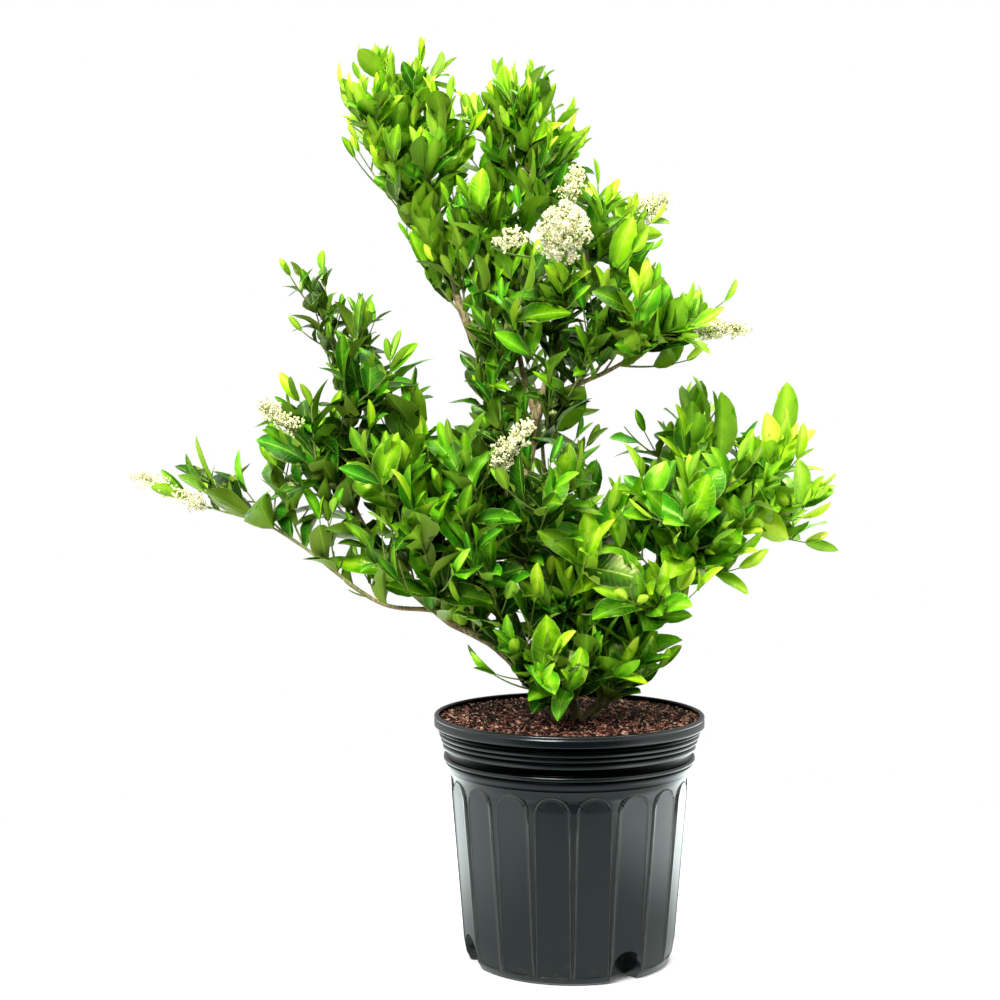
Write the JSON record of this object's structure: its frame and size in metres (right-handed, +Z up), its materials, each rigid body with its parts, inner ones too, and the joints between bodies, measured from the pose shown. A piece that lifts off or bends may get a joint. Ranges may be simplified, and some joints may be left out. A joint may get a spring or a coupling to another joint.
{
  "type": "potted waxleaf privet",
  "caption": "Young multi-stemmed waxleaf privet shrub with glossy opposite leaves and cream flower heads, growing in a black fluted nursery pot filled with bark potting mix",
  "frame": {"origin": "centre of the flat underside of the pot, on the ground", "axes": "+Z up along the pot's axis, -Y towards the viewer's side, +X to the viewer's right"},
  "size_m": [0.7143, 0.3796, 0.9469],
  "materials": {
    "pot": "satin blown plastic with fine moulded ribs",
    "mix": "loose granular bark and coir, damp and dark reddish brown",
    "bark": "thin grey-brown bark with pale breathing pores",
    "leaf": "waxy gloss, yellow-green when young and dark green when old",
    "flower": "matt cream petals and buds"
  },
  "bodies": {
    "root": {"back_stem": "bark", "back_stem_shoot_1": "leaf", "back_stem_shoot_2": "leaf", "back_stem_shoot_3": "leaf", "bough_left": "bark", "bough_left_shoot_1": "leaf", "bough_left_shoot_2": "leaf", "bough_left_shoot_3": "leaf", "bough_left_shoot_4": "leaf", "bough_left_shoot_5": "leaf", "bough_left_shoot_6": "leaf", "bough_left_shoot_7": "leaf", "bough_right": "bark", "bough_right_shoot_1": "leaf", "bough_right_shoot_2": "leaf", "bough_right_shoot_3": "leaf", "bough_right_shoot_4": "leaf", "bough_right_shoot_5": "leaf", "bough_right_shoot_6": "leaf", "flower_head_far_left": "flower", "flower_head_left": "flower", "flower_head_main": "flower", "flower_head_right": "flower", "flower_head_shoulder": "flower", "leader_left": "bark", "leader_left_shoot_1": "leaf", "leader_left_shoot_2": "leaf", "leader_left_shoot_3": "leaf", "leader_left_shoot_4": "leaf", "leader_left_shoot_5": "leaf", "leader_left_shoot_6": "leaf", "leader_right": "bark", "leader_right_shoot_1": "leaf", "leader_right_shoot_2": "leaf", "leader_right_shoot_3": "leaf", "leader_right_shoot_4": "leaf", "leader_right_shoot_5": "leaf", "leader_right_shoot_6": "leaf", "leader_right_shoot_7": "leaf", "leader_right_shoot_8": "leaf", "low_left_branch": "bark", "low_left_branch_shoot_1": "leaf", "low_left_branch_shoot_2": "leaf", "low_left_branch_shoot_3": "leaf", "nursery_pot": "pot", "potting_mix": "mix", "right_upper_branch": "bark", "right_upper_branch_shoot_1": "leaf", "right_upper_branch_shoot_2": "leaf", "right_upper_branch_shoot_3": "leaf", "shoulder_branch": "bark", "shoulder_branch_shoot_1": "leaf", "shoulder_branch_shoot_2": "leaf", "shoulder_branch_shoot_3": "leaf", "top_middle_branch": "bark", "top_middle_branch_shoot_1": "leaf", "top_middle_branch_shoot_2": "leaf", "top_middle_branch_shoot_3": "leaf"}
  },
  "joints": []
}
